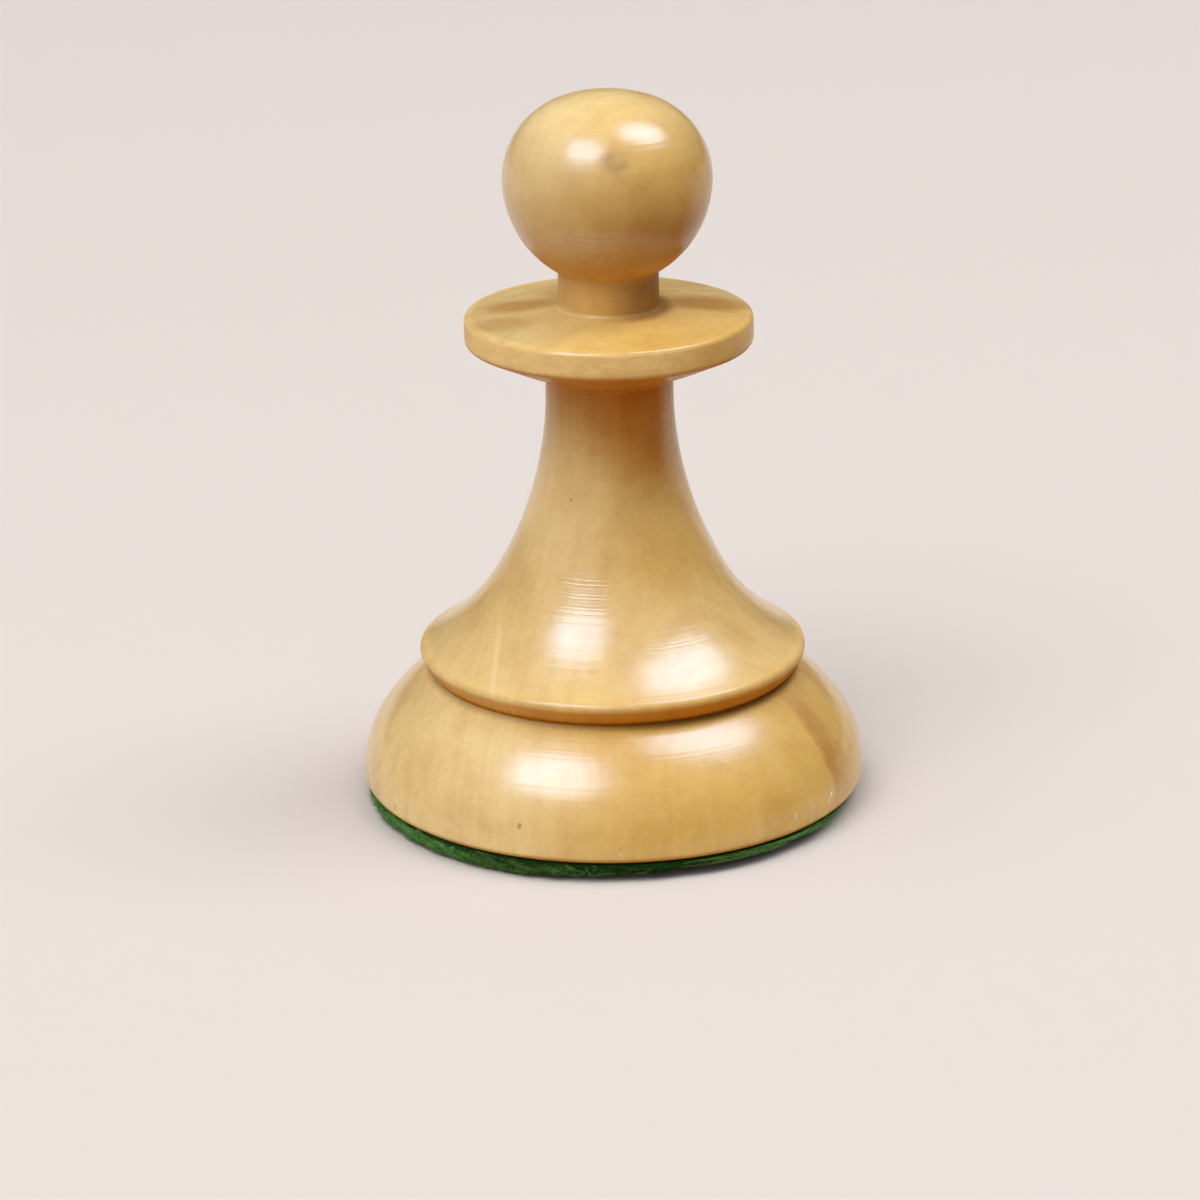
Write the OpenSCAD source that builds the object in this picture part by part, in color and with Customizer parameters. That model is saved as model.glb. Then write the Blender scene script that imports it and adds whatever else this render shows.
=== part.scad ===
// Wooden chess pawn, turned from one blank, with a weighted base and a felt foot.
// Millimetres, +Z up. The origin is the centre of the felt's underside.

/* [Felt foot] */
// Thickness of the felt pad
felt_t = 0.9; // [0.5:0.05:2]
// How far the felt's edge lies inside the edge of the wooden foot
felt_inset = 0.1; // [0:0.05:2]
// Thickness of the card disc above the felt
card_t = 0.25; // [0.1:0.05:0.8]
// How far the card's edge lies inside the felt's edge
card_inset = 0.7; // [0.1:0.05:3]

/* [Base] */
// Diameter of the base at its widest line
base_d = 33.4; // [30:0.1:42]
// Height of the widest line above the wooden foot
bulge_h = 0.5; // [0.4:0.05:2]
// How far the foot's edge lies inside the widest line
foot_inset = 0.4; // [0.1:0.05:1]
// Height of the base from its foot to the groove under the lip
base_h = 7.7; // [6.5:0.1:12]
// Diameter at the bottom of the groove under the lip
groove_d = 23.9; // [22:0.1:25]
// Slope of the shoulder where it runs into the groove, in degrees from level
shoulder_slope = 31; // [24:1:44]
// Sweep of the base's side against the sweep of its shoulder
base_sweep = 0.9; // [0.4:0.05:1.5]

/* [Lip and stem] */
// How far the lip's lower edge stands above the bottom of the groove
groove_rise = 0.3; // [0.1:0.05:0.8]
// Diameter of the lip at its widest line
lip_d = 25.6; // [24.5:0.1:30]
// How far the lip's lower edge lies inside its widest line
lip_undercut = 0.5; // [0.1:0.05:0.7]
// Height of the lip's widest line above its lower edge
lip_h = 1; // [0.6:0.05:3]
// Radius of the rounded lip
lip_round = 0.45; // [0.1:0.05:0.55]
// Slope of the stem where it runs off the lip, in degrees from level
lip_slope = 29.5; // [15:0.5:45]
// Height from the lip's widest line to where the stem turns upright
trumpet_h = 17.85; // [14:0.05:30]
// Diameter of the stem under the collar
stem_d = 8.35; // [6:0.05:12]
// Length of the upright part of the stem
stem_h = 0.8; // [0.2:0.05:8]
// Sweep of the stem's flare against the sweep of its upper part
stem_sweep = 0.55; // [0.4:0.05:1.5]

/* [Collar] */
// Diameter of the collar
collar_d = 18.8; // [14:0.1:24]
// Height of the collar's underside, from the stem to the upright rim
collar_under_h = 2.6; // [1:0.05:5]
// Height of the upright rim
rim_h = 1.2; // [0.2:0.05:4]
// Radius of the rim's lower edge
rim_round = 0.4; // [0.1:0.05:0.8]
// How far the rim's lower edge turns under, in degrees
rim_turn = 64; // [45:1:75]
// Radius of the rim's upper edge
rim_edge = 0.35; // [0.1:0.05:0.8]
// Fall of the collar's top from the neck to the rim, in degrees
collar_slope = 5; // [0:0.5:12]

/* [Neck and head] */
// Diameter of the neck
neck_d = 6.55; // [4.5:0.05:9]
// Radius of the hollow at the foot of the neck
neck_fillet = 0.3; // [0.1:0.05:1]
// Height from the rim's upper edge to the underside of the head
neck_h = 2.9; // [2:0.05:6]
// Diameter of the head
head_d = 13.55; // [11:0.05:18]
// Height of the head below its widest line
belly_h = 6.05; // [5:0.05:9]
// Height of the head above its widest line
crown_h = 5.65; // [4:0.05:9]
// Sweep of the head's side against the sweep of its flatter crown
crown_sweep = 2.2; // [0.5:0.1:3]

/* [Weight] */
// Diameter of the metal weight
slug_d = 16; // [8:0.1:17]
// Length of the metal weight
slug_len = 6.5; // [3:0.1:8]
// Chamfer on the weight's edges
slug_chamfer = 0.6; // [0.1:0.05:1.2]
// Gap all round the weight in its bore
slug_gap = 0.2; // [0.05:0.05:0.5]
// Diameter of the plug that closes the bore
plug_d = 20; // [18.5:0.1:26]
// Thickness of the plug
plug_t = 2; // [1:0.1:3]
// Gap all round the plug in its seat
plug_gap = 0.1; // [0.05:0.05:0.3]

/* [Hidden] */
$fn = 180;

// Largest turn between neighbouring points of an arc, in degrees
arc_step = 3;
// How far the boring cuts run out past the foot
cut_past = 1;

// Heights from the ground up
card_z = felt_t;
foot_z = card_z + card_t;
groove_z = foot_z + base_h;
lip_foot_z = groove_z + groove_rise;
lip_z = lip_foot_z + lip_h;
stem_z = lip_z + trumpet_h;
collar_z = stem_z + stem_h;
rim_z = collar_z + collar_under_h;
edge_z = rim_z + rim_h;
head_z = edge_z + rim_edge + neck_h;
brow_z = head_z + belly_h;
slug_z = foot_z + plug_t;

// Diameter of the weight's flat ends, inside its chamfers
slug_end_d = slug_d - 2 * slug_chamfer;

// Radii that follow the wooden foot
foot_r = base_d / 2 - foot_inset;
felt_r = foot_r - felt_inset;
card_r = felt_r - card_inset;

// Directions along an outline walked up from the foot, as [outward, up]
upward = [0, 1];
inward = [-1, 0];
function heading(angle) = [cos(angle), sin(angle)];

// Radius of an arc from p to q, above 0 where it bulges and below 0 where it is hollow
function leaving(p, along, q) = norm(q - p) ^ 2 / (2 * cross(along, q - p));
function arriving(p, q, along) = norm(q - p) ^ 2 / (2 * cross(q - p, along));

// Point where two arcs join smoothly between p, left along a, and q, reached along b.
// The first arc's sweep is to the second's as sweep is to 1.
function joining(p, a, q, b, sweep) =
    let (
        span = q - p,
        turn = 2 * sweep * (1 - a * b),
        reach = span * (sweep * a + b),
        step = (sqrt(reach ^ 2 + turn * (span * span)) - reach) / turn
    )
    (p + step * sweep * a + (q - step * b) * sweep) / (1 + sweep);

// Base, from the foot's edge to the groove
foot_edge = [foot_r, foot_z];
bulge = [base_d / 2, foot_z + bulge_h];
groove = [groove_d / 2, groove_z];
shoulder_way = heading(180 - shoulder_slope);
base_joint = joining(bulge, upward, groove, shoulder_way, base_sweep);

// Lip, from its lower edge up the undercut face and round its nose
lip_foot = [lip_d / 2 - lip_undercut, lip_foot_z];
nose = [lip_d / 2 - lip_round, lip_z];
nose_reach = nose - lip_foot;
face_angle = atan2(nose_reach[1], nose_reach[0]) - asin(lip_round / norm(nose_reach));
lip_low = nose + lip_round * heading(face_angle - 90);
lip_top = nose + lip_round * heading(90 - lip_slope);

// Stem, hollow from the lip to its upright part
lip_way = heading(180 - lip_slope);
stem_top = [stem_d / 2, stem_z];
stem_joint = joining(lip_top, lip_way, stem_top, upward, stem_sweep);

// Collar, from the stem out to the rim and back to the neck
collar_root = [stem_d / 2, collar_z];
rim_centre = [collar_d / 2 - rim_round, rim_z];
rim_low = rim_centre + rim_round * heading(-rim_turn);
rim_way = heading(90 - rim_turn);
rim_foot = [collar_d / 2, rim_z];
rim_top = [collar_d / 2, edge_z];
edge_top = rim_top - [rim_edge, 0] + rim_edge * heading(90 - collar_slope);
fillet_r = neck_d / 2 + neck_fillet * (1 - sin(collar_slope));
fillet_low = [fillet_r, edge_top[1] + (edge_top[0] - fillet_r) * tan(collar_slope)];
fillet_top = [neck_d / 2, fillet_low[1] + neck_fillet * cos(collar_slope)];

// Head, from the neck to the crown
chin = [neck_d / 2, head_z];
brow = [head_d / 2, brow_z];
crown = [0, brow_z + crown_h];
crown_joint = joining(brow, upward, crown, inward, crown_sweep);

// Each corner of the turned outline, with the radius of the stretch that follows it: 0 is straight
OUTLINE = [
    [[0, foot_z], 0],
    [foot_edge, arriving(foot_edge, bulge, upward)],
    [bulge, leaving(bulge, upward, base_joint)],
    [base_joint, arriving(base_joint, groove, shoulder_way)],
    [groove, 0],
    [lip_foot, 0],
    [lip_low, lip_round],
    [lip_top, leaving(lip_top, lip_way, stem_joint)],
    [stem_joint, arriving(stem_joint, stem_top, upward)],
    [stem_top, 0],
    [collar_root, arriving(collar_root, rim_low, rim_way)],
    [rim_low, rim_round],
    [rim_foot, 0],
    [rim_top, rim_edge],
    [edge_top, 0],
    [fillet_low, -neck_fillet],
    [fillet_top, 0],
    [chin, arriving(chin, brow, upward)],
    [brow, leaving(brow, upward, crown_joint)],
    [crown_joint, arriving(crown_joint, crown, inward)],
    [crown, 0]
];

// Points from p towards q, without q itself, along a straight line or an arc of up to half a turn
function stretch(p, q, radius) =
    radius == 0 ? [p] :
    let (
        chord = q - p,
        half_turn = asin(norm(chord) / (2 * radius)),
        along = atan2(chord[1], chord[0]),
        steps = ceil(abs(2 * half_turn) / arc_step)
    )
    [for (i = [0 : steps - 1])
        let (turned = 2 * half_turn * i / steps)
        p + 2 * radius * sin(turned / 2) * heading(along - half_turn + turned / 2)];

// Points of a whole outline
function traced(outline) = [
    for (i = [0 : len(outline) - 2])
        each stretch(outline[i][0], outline[i + 1][0], outline[i][1]),
    outline[len(outline) - 1][0]
];

// Boxwood body with the stepped bore for the weight and its plug
module turned_body() {
    color([0.82, 0.67, 0.4]) difference() {
        rotate_extrude() polygon(traced(OUTLINE));
        translate([0, 0, foot_z]) cylinder(d = slug_d + 2 * slug_gap, h = plug_t + slug_len);
        translate([0, 0, foot_z - cut_past]) cylinder(d = plug_d + 2 * plug_gap, h = plug_t + cut_past);
    }
}

// Iron weight with chamfered ends, against the blind end of its bore
module weight_slug() {
    color([0.35, 0.35, 0.37]) translate([0, 0, slug_z]) {
        cylinder(d1 = slug_end_d, d2 = slug_d, h = slug_chamfer);
        translate([0, 0, slug_chamfer]) cylinder(d = slug_d, h = slug_len - 2 * slug_chamfer);
        translate([0, 0, slug_len - slug_chamfer]) cylinder(d1 = slug_d, d2 = slug_end_d, h = slug_chamfer);
    }
}

// Wooden plug that closes the bore, flush with the foot
module bore_plug() {
    color([0.7, 0.55, 0.34]) translate([0, 0, foot_z]) cylinder(d = plug_d, h = plug_t);
}

// Card disc glued over the foot and the plug
module card_disc() {
    color([0.72, 0.66, 0.55]) translate([0, 0, card_z]) cylinder(r = card_r, h = card_t);
}

// Green felt pad that the pawn stands on
module felt_pad() {
    color([0.12, 0.32, 0.12]) cylinder(r = felt_r, h = felt_t);
}

turned_body();
weight_slug();
bore_plug();
card_disc();
felt_pad();
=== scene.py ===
import math
import random

import bpy
import numpy as np
from mathutils import Euler, Matrix, Vector

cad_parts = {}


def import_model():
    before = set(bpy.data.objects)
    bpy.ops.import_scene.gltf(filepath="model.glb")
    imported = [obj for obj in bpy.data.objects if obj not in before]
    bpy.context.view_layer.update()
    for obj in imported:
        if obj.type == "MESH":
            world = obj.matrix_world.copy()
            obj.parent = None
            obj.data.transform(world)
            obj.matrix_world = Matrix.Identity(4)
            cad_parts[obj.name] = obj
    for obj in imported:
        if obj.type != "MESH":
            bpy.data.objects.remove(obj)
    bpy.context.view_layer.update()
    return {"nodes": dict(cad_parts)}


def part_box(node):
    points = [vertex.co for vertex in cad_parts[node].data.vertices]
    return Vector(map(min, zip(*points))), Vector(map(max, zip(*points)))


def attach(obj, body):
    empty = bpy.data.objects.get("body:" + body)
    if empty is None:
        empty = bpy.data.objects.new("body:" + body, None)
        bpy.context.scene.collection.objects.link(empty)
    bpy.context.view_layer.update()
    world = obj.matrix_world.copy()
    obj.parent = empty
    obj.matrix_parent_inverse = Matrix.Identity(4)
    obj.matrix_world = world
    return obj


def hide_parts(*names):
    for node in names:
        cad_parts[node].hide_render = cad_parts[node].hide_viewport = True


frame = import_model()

FELT_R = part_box("felt_pad")[1].x
FELT_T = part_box("felt_pad")[1].z
MM = 0.001
SEED = 7


def srgb(r, g, b):
    """Scene-linear colour from 0 to 255 display values."""
    def linear(c):
        c /= 255
        return c / 12.92 if c <= 0.04045 else ((c + 0.055) / 1.055) ** 2.4
    return (linear(r), linear(g), linear(b), 1.0)


# Camera: the photograph's view, with the pawn turned so that the lens lies over -Y
PHOTO_PX = 1200
FOCAL_PX = 4310.4
SENSOR_MM = 36.0
CAMERA_AT = (0.0, -0.26944, 0.10926)
CAMERA_TURN_DEG = (70.369, 0.667, -0.069)
CAMERA_CLIP = (0.01, 20.0)

# Turned body
AROUND = 224
CORNER_TURN_DEG = 10
FINE_STEP = 0.04 * MM
EDGE_SOFTNESS = 0.05 * MM
RING_TURN_DEG = 1.6
RING_GAP = 0.35 * MM
BORE_MARGIN = 1.0 * MM
ON_AXIS = 1e-9

# Stage: the floor's half width is in metres; distances on it are in millimetres from the pawn, or behind it
FLOOR_HALF = 2.0
FLOOR_PALE = srgb(210, 201, 195)
FLOOR_BOUNCE = srgb(140, 96, 66)
FLOOR_FAR = srgb(232, 222, 216)
FLOOR_FADE = (300.0, 800.0)
FLOOR_NEAR = (48.0, 24.0)
FLOOR_BEHIND = (60.0, 140.0)
FLOOR_MIRRORED = (5.0, 45.0)
BLACK = (0.0, 0.0, 0.0, 1.0)
SKY_COLOUR = (0.98, 0.98, 1.0, 1.0)
SKY_LOW = 0.05
SKY_HIGH = 0.66
SKY_FRONT = 0.70
SKY_FRONT_WAY = Vector((-0.50, -0.72, 0.46)).normalized()
SKY_FRONT_FALL = 3.0
LAMP_COLOUR = (1.0, 0.99, 1.0)
SHINE_COLOUR = (0.20, 0.52, 1.0)
LAMP_DISTANCE = 1.2
LAMP_AIM = Vector((0.0, 0.0, 0.022))

# Boxwood colours
WOOD_PALE = srgb(229, 200, 136)
WOOD_HONEY = srgb(219, 178, 94)
WOOD_BROWN = srgb(180, 125, 56)
WOOD_CREAM = srgb(237, 214, 160)
WOOD_HEART = srgb(160, 100, 40)
# Amber of the painted shade
WOOD_AMBER = (0.82, 0.45, 0.03, 1.0)
NECK_DARK = srgb(130, 78, 18)
# Painted light on the collar's rim
RIM_LIT = srgb(250, 216, 146)
GROOVE_SHADOW_COLOUR = srgb(104, 58, 16)
SMUDGE_COLOUR = srgb(140, 108, 66)
SPECK_COLOUR = srgb(118, 78, 38)
CHIP_COLOUR = srgb(244, 236, 226)

# Places on the wood are in millimetres. A pair says where a mark begins and where it is full: a height where
# the name ends in FOOT or TOP, x in SIDE, y in FRONT, distance from the axis in RADIUS, and in UP how far the
# surface faces up, from 1 on top through 0 on an upright face to -1 below.
PITH = (10.8, -14.4, 0.0)  # the tree's pith, just outside the turning at its front right
PITH_SPAN = (9.0, 20.0)
RING_WANDER = 2.4
FIBRE_TOP = (36.0, 28.0)
# Where the flare is paler: partly wood tone, partly painted glow beside its highlights
FLARE_FOOT = (8.5, 11.0)
FLARE_TOP = (18.0, 14.0)
FLARE_TONE = 16.0
FLARE_EVEN = 0.9
HEART_TURN_DEG = 59.5
HEART_WANDER_DEG = 7.0
HEART_EDGE_DEG = (-1.2, 2.2)
HEART_FADE_DEG = (14.0, 2.5)
HEART_FOOT = (1.2, 3.4)
HEART_TOP = (8.8, 7.4)
ARCHES = ((9.9, 0.5), (12.1, 0.35))  # distance from the pith, half width
ARCH_CORE = 0.05
ARCH_FOOT = (10.2, 13.0)
ARCH_TOP = (18.5, 15.0)
ARCH_SIDE = (2.0, 5.0)
STREAK_X = -6.95
STREAK_LEAN = 0.08
STREAK_WIDTH = (0.34, 0.05)
STREAK_FRONT = (-4.0, -6.0)
STREAK_FOOT = (9.6, 10.6)
STREAK_TOP = (15.0, 13.0)
# Painted light on the left of the stem and head, painted shade on the cheek's right, real scuffs on its left
LIT_STEM_FOOT = (16.0, 20.0)
LIT_STEM_TOP = (28.5, 26.5)
LIT_HEAD_FOOT = (36.5, 38.5)
LIT_SIDE = (-0.5, -4.5)
CHEEK_FOOT = (36.8, 38.2)
CHEEK_TOP = (41.6, 39.6)
CHEEK_SHADE_SIDE = (-3.5, 3.5)
CHEEK_SCUFF_SIDE = (2.5, -1.5)
NECK_RADIUS = (4.6, 3.6)
NECK_FOOT = (32.4, 32.8)
NECK_TOP = (36.6, 35.2)
NECK_SIDE = (-1.0, 2.8)
# Where painted light makes the collar's rim paler
RIM_RADIUS = (8.9, 9.2)
RIM_FOOT = (30.8, 31.7)
RIM_SIDE = (3.0, 7.5)
RIM_UP = (0.8, 0.2)
EDGE_RADIUS = (8.8, 9.0)
EDGE_FOOT = (31.0, 31.5)
EDGE_SIDE = (-2.8, -4.2)
# Painted shadow in the groove under the lip
GROOVE = (11.95, 8.85, 0.0)  # radius and height
GROOVE_WIDTH = (0.75, 0.10)
GROOVE_SIDE = (-8.0, 6.0)
# Painted shadow of the collar on the stem
STEM_DARK_FOOT = (22.0, 26.4)
STEM_DARK_SLANT = 0.55
STEM_DARK_RADIUS = (5.8, 5.0)
STEM_DARK_SIDE = (-3.0, 1.5)
STEM_EDGE_SIDE = (4.4, 2.6)
# The lip, whose face gets painted shade
LIP_RADIUS = (12.0, 12.4)
LIP_FOOT = (8.9, 9.5)
LIP_SIDE = (-8.0, 4.0)
LIP_UP = (0.4, 0.0)
COLLAR_TOP = (33.5, 32.5)
NECK_THIN_FOOT = (32.6, 33.4)
FLAT_TOP = (37.0, 36.0)
HOLLOW_REACH = 7.0 * MM

# Marks as (x, y, z, size, strength), and specks without a strength
# Painted shadows of the head on the collar's top
COLLAR_SHADOWS = ((-5.6, 0.8, 33.0, 3.6, 0.66), (6.2, 1.0, 33.0, 4.2, 0.72), (-7.0, -3.0, 33.0, 3.4, 0.42),
                 (8.0, -4.8, 31.2, 3.4, 0.30))
SMUDGES = ((0.45, -6.10, 44.45, 1.45, 0.34), (1.05, -6.15, 44.22, 0.55, 0.36),
           (-0.05, -6.00, 44.68, 0.50, 0.22))
CHIPS = ((14.22, -8.69, 2.63, 0.20, 0.80), (14.05, -9.0, 2.28, 0.26, 0.30),
         (11.73, -11.86, 2.45, 0.22, 0.22))
SPECKS = ((-6.09, -15.36, 3.39, 0.22), (-2.58, -4.30, 21.59, 0.11), (-14.34, -8.56, 1.93, 0.14),
          (0.34, -16.60, 2.30, 0.12), (6.9, -15.1, 2.2, 0.10))
SPECK_STRENGTH = 0.6
SPOT_EDGE = (1.0, 0.35)

# Tool marks on the flare, and how deep the lathe's traces lie in the lacquer
TOOL_MARK_PITCH = 0.38
TOOL_MARK_JITTER = 14.0
TOOL_MARK_FOOT = (13.6, 16.4)
TOOL_MARK_TOP = (17.8, 17.2)
TOOL_MARK_DEPTH = 0.004 * MM
RIDGE_DEPTH = 0.021 * MM
RIDGE_FOOT = (8.0, 10.0)
LINE_DEPTH = 0.005 * MM
WOOD_LINE_DEPTH = 0.0015 * MM

# Felt: a hand-cut pad, glued a little off centre, whose edge has come loose into fluff
FELT_AROUND = 720
FELT_SHIFT = 0.45 * MM
FELT_SHIFT_TURN = math.radians(-25)
FELT_FLAT = 0.44 * MM
FELT_FLAT_TURN = math.radians(-105)
FELT_CURL_TURN = math.radians(70)
FELT_CURL_LIFT = 0.40
FELT_CURL_UNDERCUT = 0.30
FELT_SPREAD = 0.05 * MM
FELT_UNDERCUT = 0.04
FELT_SHOULDER = 0.03
FELT_WIDEST = 0.62
FELT_LOCKS = 150
FELT_WAVES = 6
FELT_WAVE = 0.05 * MM
FELT_WAVE_PHASE = 1.7
FELT_TUFT = 0.09 * MM
FELT_TUFT_REACH = 3
FELT_TOP_ROOM = 0.18 * MM
FELT_LIFT = 0.02 * MM
FELT_PUFF = 1.2
FELT_LEVELS = (0.0, 0.06, 0.15, 0.26, 0.38, 0.5, 0.62, 0.74, 0.86, 0.98, 1.1, FELT_PUFF)
FELT_UNDER_SHARES = (0.3, 0.6, 0.82)
FELT_OVER_ROWS = ((0.97, 1.15), (0.955, 1.0), (0.7, 1.0), (0.35, 1.0))  # share of the edge's radius, level
# Painted shade on the felt's front, and painted shadow low on its right
FELT_FRONT_SHADE = (0.55, 0.42, 0.25, 1.0)
FELT_SHADE_FRONT = (-12.5, -15.5)
FELT_UNDER_SHADOW = srgb(34, 26, 6)
FELT_UNDER_SHADOW_TOP = (0.90, 0.60)
FELT_UNDER_SHADOW_SIDE = (-3.0, 7.0)
FELT_SHEEN = (0.4, 0.7, 0.3, 1.0)
FIBRE_STEPS = 6
FIBRE_SIDES = 3
FIBRE_TAPER = 0.75
FIBRE_WEAVE_TURN = 5.0


def new_object(name, verts, faces, material, smooth=True):
    """Mesh object from vertices and faces, with one material."""
    mesh = bpy.data.meshes.new(name)
    mesh.from_pydata(verts, [], faces)
    mesh.update()
    if smooth:
        mesh.shade_smooth()
    mesh.materials.append(material)
    obj = bpy.data.objects.new(name, mesh)
    bpy.context.scene.collection.objects.link(obj)
    return obj


# Material helpers
class Nodes:
    """Short calls for building one material's node tree."""

    def __init__(self, name):
        self.material = bpy.data.materials.new(name)
        self.material.use_nodes = True
        self.tree = self.material.node_tree
        self.shader = self.tree.nodes["Principled BSDF"]

    def add(self, kind, inputs=None, **settings):
        node = self.tree.nodes.new(kind)
        for key, value in settings.items():
            setattr(node, key, value)
        for key, value in (inputs or {}).items():
            self.feed(node.inputs[key], value)
        return node

    def feed(self, socket, value):
        if isinstance(value, bpy.types.NodeSocket):
            self.tree.links.new(value, socket)
        else:
            socket.default_value = value

    def math(self, operation, a, b=0.0, c=0.0, clamp=False):
        node = self.add("ShaderNodeMath", operation=operation, use_clamp=clamp)
        for socket, value in zip(node.inputs, (a, b, c)):
            self.feed(socket, value)
        return node.outputs[0]

    def times(self, *values):
        """Product of all the values."""
        product = values[0]
        for value in values[1:]:
            product = self.math("MULTIPLY", product, value)
        return product

    def less(self, mask, share):
        """1 where the mask is 0, and lower by a share where it is 1."""
        return self.math("MULTIPLY_ADD", mask, -share, 1.0)

    def vector(self, operation, a, b=(0.0, 0.0, 0.0)):
        node = self.add("ShaderNodeVectorMath", operation=operation)
        self.feed(node.inputs[0], a)
        self.feed(node.inputs[1], b)
        scalar = operation in ("LENGTH", "DISTANCE", "DOT_PRODUCT")
        return node.outputs["Value"] if scalar else node.outputs[0]

    def split(self, vector):
        """The x, y and z of a vector."""
        return self.add("ShaderNodeSeparateXYZ", {"Vector": vector}).outputs

    def noise(self, vector, scale=1.0, detail=2.0, roughness=0.5, distortion=0.0, stretch=None):
        if stretch is not None:
            vector = self.vector("MULTIPLY", vector, stretch)
        node = self.add("ShaderNodeTexNoise", {"Vector": vector, "Scale": scale, "Detail": detail,
                                               "Roughness": roughness, "Distortion": distortion})
        return node.outputs["Fac"]

    def noise_1d(self, w, scale, detail=2.0, roughness=0.5):
        node = self.add("ShaderNodeTexNoise", noise_dimensions="1D")
        for key, value in {"W": w, "Scale": scale, "Detail": detail, "Roughness": roughness}.items():
            self.feed(node.inputs[key], value)
        return node.outputs["Fac"]

    def smoothstep(self, value, span, to=(0.0, 1.0)):
        """Smooth step from to[0] at span[0] to to[1] at span[1], level beyond them."""
        node = self.add("ShaderNodeMapRange", interpolation_type="SMOOTHSTEP")
        for key, v in {"Value": value, "From Min": span[0], "From Max": span[1],
                       "To Min": to[0], "To Max": to[1]}.items():
            self.feed(node.inputs[key], v)
        return node.outputs["Result"]

    def mix(self, factor, a, b, blend="MIX"):
        node = self.add("ShaderNodeMix", data_type="RGBA", blend_type=blend)
        self.feed(node.inputs["Factor"], factor)
        self.feed(node.inputs["A"], a)
        self.feed(node.inputs["B"], b)
        return node.outputs["Result"]

    def tint(self, colour, tone, *masks):
        """Colour turned towards a tone by the product of the masks and strengths."""
        return self.mix(self.times(*masks), colour, tone)

    def place(self):
        """Object position in millimetres."""
        coord = self.add("ShaderNodeTexCoord").outputs["Object"]
        return self.vector("MULTIPLY", coord, (1 / MM, 1 / MM, 1 / MM))

    def bump(self, height, distance, strength=1.0, normal=None):
        inputs = {"Height": height, "Distance": distance, "Strength": strength}
        if normal is not None:
            inputs["Normal"] = normal
        return self.add("ShaderNodeBump", inputs).outputs["Normal"]

    def shade(self, **inputs):
        """Sets the shader's sockets, with _ for a space."""
        for key, value in inputs.items():
            self.feed(self.shader.inputs[key.replace("_", " ")], value)
        return self.material


class Wood(Nodes):
    """Nodes of the turned wood, with the measures that place its marks."""

    def __init__(self, name):
        super().__init__(name)
        self.p = self.place()
        self.x, self.y, self.z = self.split(self.p)
        squares = self.math("ADD", self.times(self.x, self.x), self.times(self.y, self.y))
        self.radius = self.math("SQRT", squares)
        self.ring = self.growth()
        self.up = self.split(self.add("ShaderNodeNewGeometry").outputs["Normal"])[2]
        # Lathe lines run round the axis, so they follow radius and height alone
        self.turned = self.add("ShaderNodeCombineXYZ", {"X": self.radius, "Y": self.z}).outputs[0]
        self.lines = self.noise(self.turned, 7.0, detail=4.0, roughness=0.7)
        self.scratch = self.noise(self.p, detail=3.0, roughness=0.6, stretch=(0.55, 0.55, 8.0))
        hollow = self.add("ShaderNodeAmbientOcclusion", {"Distance": HOLLOW_REACH}, samples=8,
                          only_local=True)
        self.exposed = hollow.outputs["AO"]
        self.lower = self.smoothstep(self.z, COLLAR_TOP)
        self.lip = self.times(self.smoothstep(self.radius, LIP_RADIUS), self.smoothstep(self.z, LIP_FOOT))

    def growth(self):
        """Distance from the pith in millimetres, wandering slowly along the grain."""
        wander = self.noise(self.p, stretch=(0.08, 0.08, 0.04))
        from_pith = self.vector("MULTIPLY", self.vector("SUBTRACT", self.p, PITH), (1.0, 1.0, 0.0))
        nearest = self.math("SUBTRACT", self.vector("LENGTH", from_pith), RING_WANDER / 2)
        return self.math("MULTIPLY_ADD", wander, RING_WANDER, nearest)

    def spot(self, centre, size):
        """Mask that is 1 inside a small ellipsoid round a place on the surface, with a soft edge."""
        away = self.vector("LENGTH", self.vector("DIVIDE", self.vector("SUBTRACT", self.p, centre), size))
        return self.smoothstep(away, SPOT_EDGE)


# Boxwood
def grain_colour(w):
    """Low-contrast boxwood, paler away from the pith, with faint figure in it; the flare's paler tone is
    partly painted highlight glow.
    """
    rings = w.noise_1d(w.ring, 1.0)
    cloud = w.noise(w.p, 0.24, detail=3.0, roughness=0.6)
    mottle = w.noise(w.p, 0.9)
    pores = w.noise(w.p, 4.5, stretch=(1.0, 1.0, 0.6))
    fibre = w.noise(w.p, detail=3.0, roughness=0.6, stretch=(2.6, 2.6, 0.2))
    ray = w.noise(w.p, stretch=(0.8, 0.8, 0.06))
    below_head = w.smoothstep(w.z, FIBRE_TOP, (0.2, 1.0))
    # The flare is pulled paler: partly wood tone, partly painted glow round the flare's highlights
    flare = w.times(w.smoothstep(w.z, FLARE_FOOT), w.smoothstep(w.z, FLARE_TOP), FLARE_EVEN)
    away = w.math("MULTIPLY_ADD", flare, w.math("SUBTRACT", FLARE_TONE, w.ring), w.ring)
    colour = w.mix(w.smoothstep(away, PITH_SPAN), WOOD_HONEY, WOOD_PALE)
    colour = w.tint(colour, WOOD_BROWN, w.smoothstep(rings, (0.42, 0.70)), 0.09)
    colour = w.tint(colour, WOOD_BROWN, w.smoothstep(cloud, (0.40, 0.68)), 0.22)
    colour = w.tint(colour, WOOD_BROWN, w.smoothstep(mottle, (0.45, 0.75)), 0.12)
    colour = w.tint(colour, WOOD_BROWN, w.smoothstep(pores, (0.52, 0.72)), 0.10)
    colour = w.tint(colour, WOOD_BROWN, w.smoothstep(fibre, (0.45, 0.75)), 0.07, below_head)
    return w.tint(colour, WOOD_CREAM, w.smoothstep(ray, (0.54, 0.74)), 0.15, below_head)


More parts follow.
